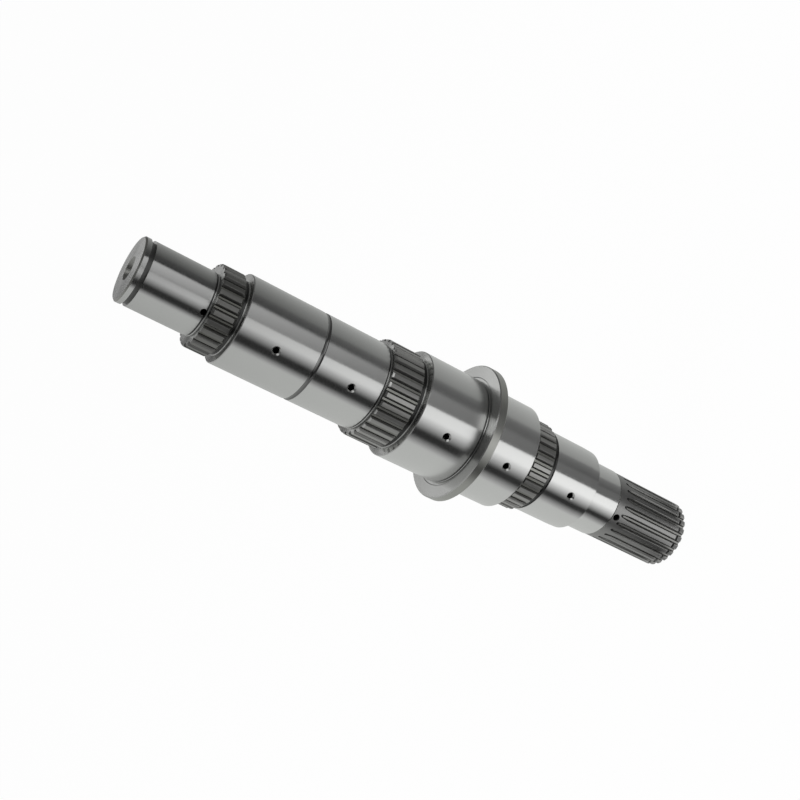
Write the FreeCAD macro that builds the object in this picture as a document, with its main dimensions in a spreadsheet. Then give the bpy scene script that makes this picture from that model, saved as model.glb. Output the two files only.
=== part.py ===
import FreeCAD, Part
import math
import os
import Sketcher
from FreeCAD import Placement, Rotation, Vector

# Gearbox main shaft, forged, turned, splined and ground as one piece
# It stands on its output end: +Z runs up the axis to the plain spigot end
# All sizes are in millimetres and degrees; the radial oil holes face -Y

SIZES = {
    # Diameters of the turned sections, from the output end up
    "output_spline_dia": 59.1,
    "bearing_seat_dia": 60.0,
    "rear_journal_dia": 72.0,
    "rear_spline_dia": 77.6,
    "reverse_journal_dia": 90.5,
    "flange_dia": 117.5,
    "low_journal_dia": 91.0,
    "middle_spline_dia": 82.5,
    "long_journal_dia": 73.2,
    "front_spline_dia": 67.4,
    "spigot_dia": 51.8,
    # Lengths of the same sections, shoulder to shoulder
    "output_spline_length": 77.5,
    "bearing_seat_length": 29.3,
    "rear_journal_length": 48.4,
    "rear_spline_length": 25.5,
    "reverse_journal_length": 44.7,
    "flange_length": 8.2,
    "low_journal_length": 56.1,
    "middle_spline_length": 32.6,
    "long_journal_length": 123.0,
    "front_spline_length": 22.75,
    "spigot_length": 59.15,
    # Broken edges and the lead-in taper of the rear journal
    "spigot_chamfer": 1.2,
    "output_chamfer": 1.6,
    "edge_chamfer": 0.6,
    "flange_chamfer": 0.8,
    "taper_length": 8.6,
    "taper_drop": 0.35,
    # Grooves for snap rings, and the shallow ring that divides the long journal
    "spigot_ring_width": 3.6,
    "spigot_ring_depth": 1.9,
    "spigot_ring_place": 4.8,
    "hub_ring_width": 2.3,
    "hub_ring_depth": 1.1,
    "output_ring_width": 2.2,
    "output_ring_depth": 1.5,
    "output_ring_place": 4.9,
    "divider_width": 3.4,
    "divider_depth": 0.7,
    "divider_place": 63.9,
    # Grinding reliefs in the corners of the shoulders
    "relief_width": 2.2,
    "relief_depth": 0.6,
    # Run-out rings behind the teeth: their sloping walls end the teeth
    "front_ring_width": 2.8,
    "front_ring_dia": 60.6,
    "middle_ring_width": 3.3,
    "middle_ring_dia": 76.6,
    "rear_ring_width": 1.4,
    "rear_ring_dia": 73.0,
    "tooth_end_angle": 38.0,
    "hub_gap_width": 5.2,
    # Teeth: number, height, widths of the land and the floor, turn of the first space
    "front_teeth": 26,
    "front_tooth_height": 2.5,
    "front_land": 3.6,
    "front_floor": 1.9,
    "front_turn": 1.28,
    "middle_teeth": 32,
    "middle_tooth_height": 2.3,
    "middle_land": 3.4,
    "middle_floor": 2.2,
    "middle_turn": 6.22,
    "rear_teeth": 31,
    "rear_tooth_height": 2.2,
    "rear_land": 3.35,
    "rear_floor": 2.5,
    "rear_turn": 3.70,
    "output_teeth": 24,
    "output_tooth_height": 2.1,
    "output_land": 3.2,
    "output_floor": 2.1,
    "output_turn": 6.93,
    "pressure_angle": 30.0,
    # The hob leaves the output teeth along an arc of its own radius
    "output_teeth_length": 58.6,
    "hob_radius": 30.0,
    # Drilled oil ways and centre holes; places are measured down from the spigot face
    "gallery_dia": 10.0,
    "gallery_length": 461.0,
    "gallery_mouth_dia": 19.0,
    "foot_centre_dia": 6.3,
    "foot_centre_length": 16.0,
    "foot_mouth_dia": 13.2,
    "centre_angle": 60.0,
    "drill_point_angle": 118.0,
    "oil_hole_dia": 5.0,
    "oil_mouth_dia": 7.6,
    "output_oil_mouth_dia": 6.4,
    "spigot_oil_place": 55.9,
    "front_oil_place": 114.1,
    "middle_oil_place": 180.0,
    "low_oil_place": 266.0,
    "reverse_oil_place": 325.8,
    "rear_oil_place": 398.9,
    "output_oil_place": 454.3,
}

# The sections in order from the output end up, with the axial length and the
# radial drop of the broken edge at their lower and their upper end
SECTIONS = [
    ("output_spline", ("output_chamfer", "output_chamfer"), None),
    ("bearing_seat", None, None),
    ("rear_journal", ("taper_length", "taper_drop"), None),
    ("rear_spline", None, None),
    ("reverse_journal", ("edge_chamfer", "edge_chamfer"), None),
    ("flange", ("flange_chamfer", "flange_chamfer"), ("flange_chamfer", "flange_chamfer")),
    ("low_journal", None, ("edge_chamfer", "edge_chamfer")),
    ("middle_spline", None, None),
    ("long_journal", None, ("edge_chamfer", "edge_chamfer")),
    ("front_spline", None, None),
    ("spigot", None, ("spigot_chamfer", "spigot_chamfer")),
]
NAMES = [section[0] for section in SECTIONS]

# Cutting outlines run this far past the surface that they cut
OVERCUT = 1.0
# A cut that takes less than this many cubic millimetres has missed the solid
SMALLEST_CUT = 0.1

doc = FreeCAD.newDocument("main_shaft")
sheet = doc.addObject("Spreadsheet::Sheet", "Sizes")
for row, (alias, value) in enumerate(SIZES.items(), start=1):
    sheet.set("A%d" % row, alias)
    sheet.set("B%d" % row, str(value))
    sheet.setAlias("B%d" % row, alias)
doc.recompute()

body = doc.addObject("PartDesign::Body", "main_shaft")
body.Label = "main_shaft"


def size(alias):
    return float(sheet.get(alias))


def radius(section):
    return size(section + "_dia") / 2


def radius_text(section):
    return "Sizes.%s_dia/2" % section


def base(section):
    """Height of a section's lower shoulder."""
    return sum(size(name + "_length") for name in NAMES[:NAMES.index(section)])


def base_text(section):
    return "+".join(["0"] + ["Sizes.%s_length" % name for name in NAMES[:NAMES.index(section)]])


def top(section):
    return base(section) + size(section + "_length")


def top_text(section):
    return base_text(section) + "+Sizes.%s_length" % section


def new_sketch(name, role, height=0.0, height_text="0", turn=0.0, turn_text="0"):
    """A sketch on one of the body's own planes, raised and turned in that plane."""
    plane = next(item for item in body.Origin.OriginFeatures if item.Role == role)
    sketch = body.newObject("Sketcher::SketchObject", name)
    sketch.AttachmentSupport = [(plane, "")]
    sketch.MapMode = "FlatFace"
    sketch.AttachmentOffset = Placement(Vector(0, 0, height), Rotation(Vector(0, 0, 1), turn))
    if height_text != "0":
        sketch.setExpression("AttachmentOffset.Base.z", height_text)
    if turn_text != "0":
        sketch.setExpression("AttachmentOffset.Rotation.Angle", turn_text)
    return sketch


class Outline:
    """A closed outline of lines and arcs, with its dimensions bound to the sheet."""

    def __init__(self, sketch):
        self.sketch = sketch
        self.constraints = []
        self.bound = []

    def line(self, start, end):
        return self.sketch.addGeometry(Part.LineSegment(Vector(*start, 0), Vector(*end, 0)))

    def arc(self, start, middle, end):
        """An arc from start to end, counter-clockwise, so that its ends keep their order."""
        return self.sketch.addGeometry(Part.Arc(Vector(*start, 0), Vector(*middle, 0), Vector(*end, 0)))

    def rule(self, *parts):
        self.constraints.append(Sketcher.Constraint(*parts))

    def measure(self, kind, *parts, to=None):
        """A dimension with its value now and, where it has one, its expression."""
        self.rule(kind, *parts)
        if to:
            self.bound.append((len(self.constraints) - 1, to))

    def polygon(self, corners):
        """Lines round the corners, joined end to end."""
        ends = corners[1:] + corners[:1]
        lines = [self.line(start, end) for start, end in zip(corners, ends)]
        for number, following in zip(lines, lines[1:] + lines[:1]):
            self.rule("Coincident", number, 2, following, 1)
        return lines

    def level(self, *lines):
        for number in lines:
            self.rule("Horizontal", number)

    def upright(self, *lines):
        for number in lines:
            self.rule("Vertical", number)

    def across(self, number, end, value, to=None):
        """Distance of a line's end from the upright axis."""
        self.measure("DistanceX", -1, 1, number, end, value, to=to)

    def along(self, number, end, value, to=None):
        """Height of a line's end above the origin."""
        self.measure("DistanceY", -1, 1, number, end, value, to=to)

    def finish(self):
        self.sketch.addConstraint(self.constraints)
        for number, text in self.bound:
            self.sketch.setExpression("Constraints[%d]" % number, text)
        return self.sketch


def checked(feature, before):
    """A cut that points away from the solid takes nothing and shows no error."""
    doc.recompute()
    if body.Shape.Volume > before - SMALLEST_CUT:
        raise RuntimeError(feature.Label + " cuts nothing")
    return feature


def turned_cut(name, sketch, angle=360.0, axis="V_Axis", backwards=False):
    before = body.Shape.Volume
    groove = body.newObject("PartDesign::Groove", name)
    groove.Profile = sketch
    groove.ReferenceAxis = (sketch, [axis])
    groove.Angle = angle
    groove.Reversed = backwards
    return checked(groove, before)


def turned_blank():
    """Half of the shaft's section, turned once round the axis."""
    corners = [(0.0, 0.0)]
    kinds = []
    for name, lower, upper in SECTIONS:
        low, high, side = base(name), top(name), radius(name)
        for place, edge, sign in ((low, lower, 1), (high, upper, -1)):
            if edge is None:
                corners.append((side, place))
                continue
            inner, outer = (side - size(edge[1]), place), (side, place + sign * size(edge[0]))
            corners += [inner, outer] if sign > 0 else [outer, inner]
        kinds += ["flat"] + (["edge"] if lower else []) + ["side"] + (["edge"] if upper else [])
    corners.append((0.0, top("spigot")))
    kinds += ["flat", "axis"]

    outline = Outline(new_sketch("blank_outline", "XZ_Plane"))
    lines = outline.polygon(corners)
    outline.rule("Coincident", lines[0], 1, -1, 1)
    flats = [number for number, kind in zip(lines, kinds) if kind == "flat"]
    sides = [number for number, kind in zip(lines, kinds) if kind == "side"]
    edges = iter([number for number, kind in zip(lines, kinds) if kind == "edge"])
    outline.level(*flats)
    outline.upright(*sides, lines[-1])
    for (name, lower, upper), side, foot, head in zip(SECTIONS, sides, flats, flats[1:]):
        outline.across(side, 1, radius(name), to=radius_text(name))
        outline.measure("DistanceY", foot, 2, head, 1, size(name + "_length"), to="Sizes.%s_length" % name)
        for edge, from_inside in ((lower, True), (upper, False)):
            if edge is None:
                continue
            number = next(edges)
            inner, outer = (1, 2) if from_inside else (2, 1)
            length, drop = edge
            outline.measure("DistanceX", number, inner, number, outer, size(drop), to="Sizes." + drop)
            outline.measure("DistanceY", number, 1, number, 2, size(length), to="Sizes." + length)
    sketch = outline.finish()

    blank = body.newObject("PartDesign::Revolution", "turned_blank")
    blank.Profile = sketch
    blank.ReferenceAxis = (sketch, ["V_Axis"])
    blank.Angle = 360
    doc.recompute()


def square_groove(name, section, low, low_text, width, width_text, floor, floor_text):
    """A square groove turned round a section, from its floor out past the surface."""
    rim, rim_text = radius(section) + OVERCUT, radius_text(section) + "+%g" % OVERCUT
    outline = Outline(new_sketch(name + "_outline", "XZ_Plane"))
    corners = [(floor, low), (rim, low), (rim, low + width), (floor, low + width)]
    bottom, outer, ceiling, inner = outline.polygon(corners)
    outline.level(bottom, ceiling)
    outline.upright(outer, inner)
    outline.across(bottom, 1, floor, to=floor_text)
    outline.across(bottom, 2, rim, to=rim_text)
    outline.along(bottom, 1, low, to=low_text)
    outline.measure("DistanceY", outer, 1, outer, 2, width, to=width_text)
    turned_cut(name, outline.finish())


def ring_groove(prefix, section, low, low_text):
    """A snap-ring groove whose width and depth carry its own prefix."""
    depth, width = "Sizes.%s_depth" % prefix, "Sizes.%s_width" % prefix
    floor = radius(section) - size(prefix + "_depth")
    square_groove(prefix + "_groove", section, low, low_text, size(prefix + "_width"), width,
                  floor, radius_text(section) + "-" + depth)


def relief(section, at_top):
    """The grinding relief in the corner at one end of a journal."""
    low = top(section) - size("relief_width") if at_top else base(section)
    text = top_text(section) + "-Sizes.relief_width" if at_top else base_text(section)
    square_groove(section + "_relief", section, low, text, size("relief_width"), "Sizes.relief_width",
                  radius(section) - size("relief_depth"), radius_text(section) + "-Sizes.relief_depth")


def divider_groove():
    """The shallow V-shaped ring that parts the two gear seats of the long journal."""
    side, rim = radius("long_journal"), radius("long_journal") + OVERCUT
    wide, deep = size("divider_width"), size("divider_depth")
    high = top("long_journal") - size("divider_place")
    low, middle = high - wide, high - wide / 2
    outline = Outline(new_sketch("divider_outline", "XZ_Plane"))
    corners = [(rim, low), (rim, high), (side, high), (side - deep, middle), (side, low)]
    outer, ceiling, upper, lower, bottom = outline.polygon(corners)
    outline.upright(outer)
    outline.level(ceiling, bottom)
    outline.across(outer, 1, rim, to=radius_text("long_journal") + "+%g" % OVERCUT)
    outline.across(ceiling, 2, side, to=radius_text("long_journal"))
    outline.across(bottom, 1, side, to=radius_text("long_journal"))
    outline.across(upper, 2, side - deep, to=radius_text("long_journal") + "-Sizes.divider_depth")
    outline.along(outer, 2, high, to=top_text("long_journal") + "-Sizes.divider_place")
    outline.measure("DistanceY", outer, 1, outer, 2, wide, to="Sizes.divider_width")
    outline.measure("DistanceY", upper, 2, upper, 1, wide / 2, to="Sizes.divider_width/2")
    turned_cut("divider_groove", outline.finish())


def runout_ring(prefix, section):
    """The ring turned behind the teeth, with a sloping wall where the teeth end."""
    rim, floor = radius(section) + OVERCUT, size(prefix + "_ring_dia") / 2
    low, wide = base(section), size(prefix + "_ring_width")
    slope = (rim - floor) * math.tan(math.radians(size("tooth_end_angle")))
    outline = Outline(new_sketch(prefix + "_ring_outline", "XZ_Plane"))
    corners = [(floor, low), (rim, low), (rim, low + wide + slope), (floor, low + wide)]
    bottom, outer, wall, inner = outline.polygon(corners)
    outline.level(bottom)
    outline.upright(outer, inner)
    outline.across(bottom, 1, floor, to="Sizes.%s_ring_dia/2" % prefix)
    outline.across(bottom, 2, rim, to=radius_text(section) + "+%g" % OVERCUT)
    outline.along(bottom, 1, low, to=base_text(section))
    outline.measure("DistanceY", inner, 2, inner, 1, wide, to="Sizes.%s_ring_width" % prefix)
    rise = "(%s+%g-Sizes.%s_ring_dia/2)*tan(Sizes.tooth_end_angle*1deg)"
    outline.measure("DistanceY", wall, 2, wall, 1, slope, to=rise % (radius_text(section), OVERCUT, prefix))
    turned_cut(prefix + "_ring", outline.finish())


def space_sketch(prefix, height, height_text):
    """The sketch of a tooth space, turned to where the first space is."""
    turn, turn_text = size(prefix + "_turn"), "Sizes.%s_turn" % prefix
    return Outline(new_sketch(prefix + "_space_outline", "XY_Plane", height, height_text, turn, turn_text))


def space_sizes(prefix):
    """Floor width, width where the outline closes past the tips, and both of their radii."""
    tip, deep = radius(prefix + "_spline"), size(prefix + "_tooth_height")
    floor = size(prefix + "_floor")
    mouth = 2 * math.pi * tip / size(prefix + "_teeth") - size(prefix + "_land")
    return floor, mouth + OVERCUT * (mouth - floor) / deep, tip - deep, tip + OVERCUT


def space_texts(prefix):
    """The same four as expressions."""
    words = {"p": prefix, "over": OVERCUT, "tip": radius_text(prefix + "_spline")}
    words["mouth"] = "(2*pi*%(tip)s/Sizes.%(p)s_teeth-Sizes.%(p)s_land)" % words
    crown = "%(mouth)s+%(over)g*(%(mouth)s-Sizes.%(p)s_floor)/Sizes.%(p)s_tooth_height" % words
    root, rim = "%(tip)s-Sizes.%(p)s_tooth_height" % words, "%(tip)s+%(over)g" % words
    return "Sizes.%s_floor" % prefix, crown, root, rim


def straight_sided_space(prefix, height, height_text):
    """The gap between two straight-sided teeth: a flat floor and two flat flanks."""
    floor, crown, root, rim = space_sizes(prefix)
    floor_text, crown_text, root_text, rim_text = space_texts(prefix)
    outline = space_sketch(prefix, height, height_text)
    corners = [(-floor / 2, root), (floor / 2, root), (crown / 2, rim), (-crown / 2, rim)]
    bottom, right, ceiling, left = outline.polygon(corners)
    outline.level(bottom, ceiling)
    outline.along(bottom, 1, root, to=root_text)
    outline.along(ceiling, 1, rim, to=rim_text)
    outline.measure("DistanceX", bottom, 1, -1, 1, floor / 2, to=floor_text + "/2")
    outline.measure("DistanceX", -1, 1, bottom, 2, floor / 2, to=floor_text + "/2")
    outline.measure("DistanceX", ceiling, 2, -1, 1, crown / 2, to="(%s)/2" % crown_text)
    outline.measure("DistanceX", -1, 1, ceiling, 1, crown / 2, to="(%s)/2" % crown_text)
    return outline


def curved_space(prefix, height, height_text):
    """The gap between two hobbed teeth: a floor on the root circle and two curved flanks."""
    floor, crown, root, rim = space_sizes(prefix)
    floor_text, crown_text, root_text, rim_text = space_texts(prefix)
    tip, deep = radius(prefix + "_spline"), size(prefix + "_tooth_height")
    bow = (tip - deep / 2) * math.sin(math.radians(size("pressure_angle")))
    outline = space_sketch(prefix, height, height_text)

    foot, head = Vector(floor / 2, math.sqrt(root ** 2 - (floor / 2) ** 2), 0), Vector(crown / 2, rim, 0)
    chord = head - foot
    sag = bow - math.sqrt(bow ** 2 - (chord.Length / 2) ** 2)
    belly = (foot + head) / 2 + Vector(-chord.y, chord.x, 0).normalize() * sag
    bottom = outline.arc((foot.x, foot.y), (0, root), (-foot.x, foot.y))
    right = outline.arc((head.x, head.y), (belly.x, belly.y), (foot.x, foot.y))
    left = outline.arc((-foot.x, foot.y), (-belly.x, belly.y), (-head.x, head.y))
    ceiling = outline.line((-head.x, head.y), (head.x, head.y))
    ring = [bottom, left, ceiling, right]
    for number, following in zip(ring, ring[1:] + ring[:1]):
        outline.rule("Coincident", number, 2, following, 1)
    outline.rule("Coincident", bottom, 3, -1, 1)

    outline.measure("Radius", bottom, root, to=root_text)
    outline.measure("DistanceX", -1, 1, bottom, 1, floor / 2, to=floor_text + "/2")
    outline.measure("DistanceX", bottom, 2, -1, 1, floor / 2, to=floor_text + "/2")
    outline.measure("DistanceX", ceiling, 1, -1, 1, crown / 2, to="(%s)/2" % crown_text)
    outline.measure("DistanceX", -1, 1, ceiling, 2, crown / 2, to="(%s)/2" % crown_text)
    outline.level(ceiling)
    outline.along(ceiling, 1, rim, to=rim_text)
    curve = "(%s-Sizes.%s_tooth_height/2)*sin(Sizes.pressure_angle*1deg)"
    curve = curve % (radius_text(prefix + "_spline"), prefix)
    outline.measure("Radius", right, bow, to=curve)
    outline.measure("Radius", left, bow, to=curve)
    return outline


def straight_space(prefix, sketch, length, length_text, upwards):
    before = body.Shape.Volume
    pocket = body.newObject("PartDesign::Pocket", prefix + "_space")
    pocket.Profile = sketch
    pocket.Length = length
    pocket.setExpression("Length", length_text)
    pocket.Reversed = upwards
    return checked(pocket, before)


def all_round(prefix, cuts):
    """The cuts of one tooth space, repeated round the shaft."""
    before = body.Shape.Volume
    pattern = body.newObject("PartDesign::PolarPattern", prefix + "_teeth")
    pattern.Originals = cuts
    pattern.Axis = (cuts[0].Profile[0], ["N_Axis"])
    pattern.Angle = 360
    pattern.Occurrences = int(size(prefix + "_teeth"))
    pattern.setExpression("Occurrences", "Sizes.%s_teeth" % prefix)
    body.Tip = pattern
    return checked(pattern, before)


def hub_teeth(prefix, upper_gap, upper_gap_text):
    """Teeth from the run-out ring up to the section's upper end, or to a gap below it."""
    section = prefix + "_spline"
    half_ring = size(prefix + "_ring_width") / 2
    half_ring_text = "Sizes.%s_ring_width/2" % prefix
    low, low_text = base(section) + half_ring, base_text(section) + "+" + half_ring_text
    sketch = curved_space(prefix, low, low_text).finish()
    length = size(section + "_length") - half_ring - upper_gap
    text = "Sizes.%s_length-%s-%s" % (section, half_ring_text, upper_gap_text)
    all_round(prefix, [straight_space(prefix, sketch, length, text, True)])


def output_teeth():
    """Teeth from the output end up to where the hob lifts out along its own arc."""
    outline = straight_sided_space("output", size("output_teeth_length"), "Sizes.output_teeth_length")
    root = radius("output_spline") - size("output_tooth_height")
    centre = root + size("hob_radius")
    text = radius_text("output_spline") + "-Sizes.output_tooth_height+Sizes.hob_radius"
    hob_axis = outline.line((0.0, centre), (size("hob_radius"), centre))
    outline.sketch.setConstruction(hob_axis, True)
    outline.level(hob_axis)
    outline.rule("PointOnObject", hob_axis, 1, -2)
    outline.along(hob_axis, 1, centre, to=text)
    outline.across(hob_axis, 2, size("hob_radius"), to="Sizes.hob_radius")
    sketch = outline.finish()
    length, length_text = size("output_teeth_length") + OVERCUT, "Sizes.output_teeth_length+%g" % OVERCUT
    straight = straight_space("output", sketch, length, length_text, False)
    lift = turned_cut("hob_lift", sketch, angle=90.0, axis="Axis0", backwards=True)
    all_round("output", [straight, lift])


def oil_hole(name, section, mouth):
    """A radial hole from the axis out through the -Y side, with a countersunk mouth."""
    place = "Sizes.%s_oil_place" % name
    height, height_text = top("spigot") - size(name + "_oil_place"), top_text("spigot") + "-" + place
    sketch = new_sketch(name + "_oil_outline", "XY_Plane", height, height_text, turn=180.0)
    bore, side, far = size("oil_hole_dia") / 2, radius(section), radius(section) + OVERCUT
    side_text = radius_text(section)
    outline = Outline(sketch)
    if mouth is None:
        floor, wall, outer, middle = outline.polygon([(0, 0), (bore, 0), (bore, far), (0, far)])
    else:
        wide = size(mouth) / 2
        corners = [(0, 0), (bore, 0), (bore, side - (wide - bore)), (wide + OVERCUT, far), (0, far)]
        floor, wall, sink, outer, middle = outline.polygon(corners)
        sink_text = side_text + "-(Sizes.%s-Sizes.oil_hole_dia)/2" % mouth
        outline.along(wall, 2, side - (wide - bore), to=sink_text)
        outline.across(sink, 2, wide + OVERCUT, to="Sizes.%s/2+%g" % (mouth, OVERCUT))
    outline.rule("Coincident", floor, 1, -1, 1)
    outline.level(floor, outer)
    outline.upright(wall, middle)
    outline.across(floor, 2, bore, to="Sizes.oil_hole_dia/2")
    outline.along(outer, 1, far, to=side_text + "+%g" % OVERCUT)
    turned_cut(name + "_oil_hole", outline.finish())


def centre_drilling(name, dia, length, mouth, from_top):
    """A drilled hole up the axis with a cone at its mouth and a drill point at its end."""
    bore, wide, deep = size(dia) / 2, size(mouth) / 2, size(length)
    cone = (wide - bore) / math.tan(math.radians(size("centre_angle") / 2))
    point = bore / math.tan(math.radians(size("drill_point_angle") / 2))
    cone_text = "(Sizes.%s-Sizes.%s)/2/tan(Sizes.centre_angle/2*1deg)" % (mouth, dia)
    point_text = "Sizes.%s/2/tan(Sizes.drill_point_angle/2*1deg)" % dia
    face = top("spigot") if from_top else 0.0
    inward = -1 if from_top else 1
    outline = Outline(new_sketch(name + "_outline", "XZ_Plane"))
    corners = [(0, face), (wide, face), (bore, face + inward * cone)]
    corners += [(bore, face + inward * (deep - point)), (0, face + inward * deep)]
    flat, slope, wall, tip, middle = outline.polygon(corners)
    outline.level(flat)
    outline.upright(wall, middle)
    outline.rule("PointOnObject", flat, 1, -2)
    if from_top:
        outline.along(flat, 1, face, to=top_text("spigot"))
    else:
        outline.rule("PointOnObject", flat, 2, -1)
    outline.across(flat, 2, wide, to="Sizes.%s/2" % mouth)
    outline.across(wall, 1, bore, to="Sizes.%s/2" % dia)
    outer, inner = (2, 1) if from_top else (1, 2)
    outline.measure("DistanceY", slope, outer, slope, inner, cone, to=cone_text)
    outline.measure("DistanceY", tip, outer, tip, inner, point, to=point_text)
    outline.measure("DistanceY", middle, inner, middle, outer, deep, to="Sizes." + length)
    turned_cut(name, outline.finish())


turned_blank()

# Grooves, reliefs and rings turned into the blank
spigot_ring_low = top("spigot") - size("spigot_ring_place") - size("spigot_ring_width")
ring_groove("spigot_ring", "spigot", spigot_ring_low,
            top_text("spigot") + "-Sizes.spigot_ring_place-Sizes.spigot_ring_width")
hub_ring_low = top("rear_journal") - size("hub_ring_width")
ring_groove("hub_ring", "rear_journal", hub_ring_low, top_text("rear_journal") + "-Sizes.hub_ring_width")
ring_groove("output_ring", "output_spline", size("output_ring_place"), "Sizes.output_ring_place")
divider_groove()
relief("spigot", at_top=False)
relief("long_journal", at_top=False)
relief("low_journal", at_top=False)
relief("reverse_journal", at_top=True)
runout_ring("front", "front_spline")
runout_ring("middle", "middle_spline")
runout_ring("rear", "rear_spline")
square_groove("hub_gap", "rear_spline", top("rear_spline") - size("hub_gap_width"),
              top_text("rear_spline") + "-Sizes.hub_gap_width", size("hub_gap_width"),
              "Sizes.hub_gap_width", size("rear_ring_dia") / 2, "Sizes.rear_ring_dia/2")

# Oil ways and centre holes
centre_drilling("oil_gallery", "gallery_dia", "gallery_length", "gallery_mouth_dia", True)
centre_drilling("foot_centre", "foot_centre_dia", "foot_centre_length", "foot_mouth_dia", False)
oil_hole("spigot", "spigot", None)
oil_hole("front", "long_journal", "oil_mouth_dia")
oil_hole("middle", "long_journal", "oil_mouth_dia")
oil_hole("low", "low_journal", "oil_mouth_dia")
oil_hole("reverse", "reverse_journal", "oil_mouth_dia")
oil_hole("rear", "rear_journal", "oil_mouth_dia")
oil_hole("output", "output_spline", "output_oil_mouth_dia")

# Teeth
hub_teeth("front", 0.0, "0")
hub_teeth("middle", 0.0, "0")
hub_teeth("rear", size("hub_gap_width") / 2, "Sizes.hub_gap_width/2")
output_teeth()

doc.recompute()
for item in doc.Objects:
    if "Invalid" in item.State or "Error" in item.State:
        raise RuntimeError(item.Name + " failed")
shape = body.Shape
if shape.isNull() or not shape.isValid() or len(shape.Solids) != 1:
    raise RuntimeError("main_shaft is not one valid solid")

os.makedirs("parts", exist_ok=True)
shape.exportStep("parts/%s.step" % body.Label)
box = shape.BoundBox
sides = (box.XLength, box.YLength, box.ZLength)
print("%s: %.0f mm3, %.1f x %.1f x %.1f mm" % ((body.Label, shape.Volume) + sides))
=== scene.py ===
import math

import bpy
from bpy.props import FloatProperty, FloatVectorProperty, IntProperty, PointerProperty
from bpy.types import Operator, Panel, PropertyGroup
from mathutils import Matrix, Vector


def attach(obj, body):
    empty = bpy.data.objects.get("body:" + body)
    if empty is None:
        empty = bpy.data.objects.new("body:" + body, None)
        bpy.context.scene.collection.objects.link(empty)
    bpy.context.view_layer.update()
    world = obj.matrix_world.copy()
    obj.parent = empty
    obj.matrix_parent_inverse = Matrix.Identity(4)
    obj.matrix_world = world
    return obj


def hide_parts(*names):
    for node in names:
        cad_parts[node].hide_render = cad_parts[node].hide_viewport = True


bl_info = {
    "name": "Transmission Main Shaft",
    "version": (1, 0, 0),
    "blender": (4, 5, 0),
    "location": "View3D > Sidebar > Main Shaft",
    "description": "Turns, splines and drills a gearbox main shaft and sets its studio",
    "category": "Object",
}

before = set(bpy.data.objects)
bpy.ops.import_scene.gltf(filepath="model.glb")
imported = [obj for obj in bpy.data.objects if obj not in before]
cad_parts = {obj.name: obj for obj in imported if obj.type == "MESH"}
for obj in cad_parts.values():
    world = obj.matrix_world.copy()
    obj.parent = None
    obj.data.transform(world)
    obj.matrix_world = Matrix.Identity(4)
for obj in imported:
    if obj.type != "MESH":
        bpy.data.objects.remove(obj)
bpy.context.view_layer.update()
MM = 0.001


def length(name, description, millimetres):
    return FloatProperty(
        name=name, description=description, default=millimetres * MM, unit="LENGTH", precision=5)


def turn(name, description, degrees):
    return FloatProperty(name=name, description=description, default=math.radians(degrees), subtype="ANGLE")


def colour(name, description, value):
    return FloatVectorProperty(
        name=name, description=description, default=value, subtype="COLOR", min=0, max=1)


def share(name, description, value):
    return FloatProperty(name=name, description=description, default=value, subtype="FACTOR", min=0, max=1)


# Sizes


class ShaftSizes(PropertyGroup):
    spigot_radius: length("Spigot Radius", "Radius of the plain spigot", 25.9)
    long_journal_radius: length("Long Journal Radius", "Radius of the two front gear seats", 36.6)
    low_journal_radius: length("Low Journal Radius", "Radius of the journal above the collar", 45.5)
    collar_radius: length("Collar Radius", "Radius of the thrust collar", 58.75)
    reverse_journal_radius: length("Reverse Journal Radius", "Radius of the journal below the collar", 45.25)
    rear_journal_radius: length("Rear Journal Radius", "Radius of the rear gear seat", 36.0)
    bearing_seat_radius: length("Bearing Seat Radius", "Radius of the main bearing's seat", 30.0)
    output_radius: length("Output Radius", "Tip radius of the output spline", 29.55)
    front_spline_radius: length("Front Spline Radius", "Tip radius of the front hub spline", 33.7)
    middle_spline_radius: length("Middle Spline Radius", "Tip radius of the middle hub spline", 41.25)
    rear_spline_radius: length("Rear Spline Radius", "Tip radius of the rear hub spline", 38.8)
    gallery_radius: length("Gallery Radius", "Radius of the oil gallery along the axis", 5.0)
    oil_hole_radius: length("Oil Hole Radius", "Radius of the radial oil holes", 2.5)
    steps: IntProperty(
        name="Steps Round", description="Facets round the turned body", default=288, min=48, max=512)


class StudioSizes(PropertyGroup):
    camera_place: FloatVectorProperty(
        name="Camera Place", description="Where the camera stands", subtype="TRANSLATION",
        default=(0.1429882, -0.8588550, 0.6984093))
    azimuth: turn("Azimuth", "Direction that the camera looks in, round the shaft", 9.2983)
    elevation: turn("Elevation", "How far the camera looks down", 25.1194)
    roll: turn("Roll", "How far the camera leans, so that the shaft lies across the picture", 63.4416)
    lens: FloatProperty(name="Lens", description="Focal length on a 36 mm sensor", default=54.42, min=10)
    floor_grey: share("Floor Grey", "Brightness of the studio floor", 0.8)
    world_light: share("World Light", "Strength of the even light all round", 0.42)


# Heights above the foot in millimetres, each from its lower to its upper end

FOOT_EDGE = (0.0, 0.7)
FOOT_GROOVE = (4.9, 7.1)
SEAT_LINE = (76.7, 77.5)
BEARING_SEAT = (77.9, 104.6)
REAR_JOURNAL = (107.4, 152.9)
REAR_SPLINE = (158.4, 175.5)
REVERSE_JOURNAL = (181.3, 223.2)
COLLAR = (225.4, 233.6)
COLLAR_RIM = (226.2, 232.8)
LOW_JOURNAL = (235.8, 289.1)
MIDDLE_SPLINE = (295.3, 321.0)
DIVIDING_RING = (378.0, 381.4)
FRONT_SPLINE = (450.76, 466.75)
SNAP_GROOVE = (518.8, 522.4)

# Shoulders between two sections, and the tops of the reliefs at their feet

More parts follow.
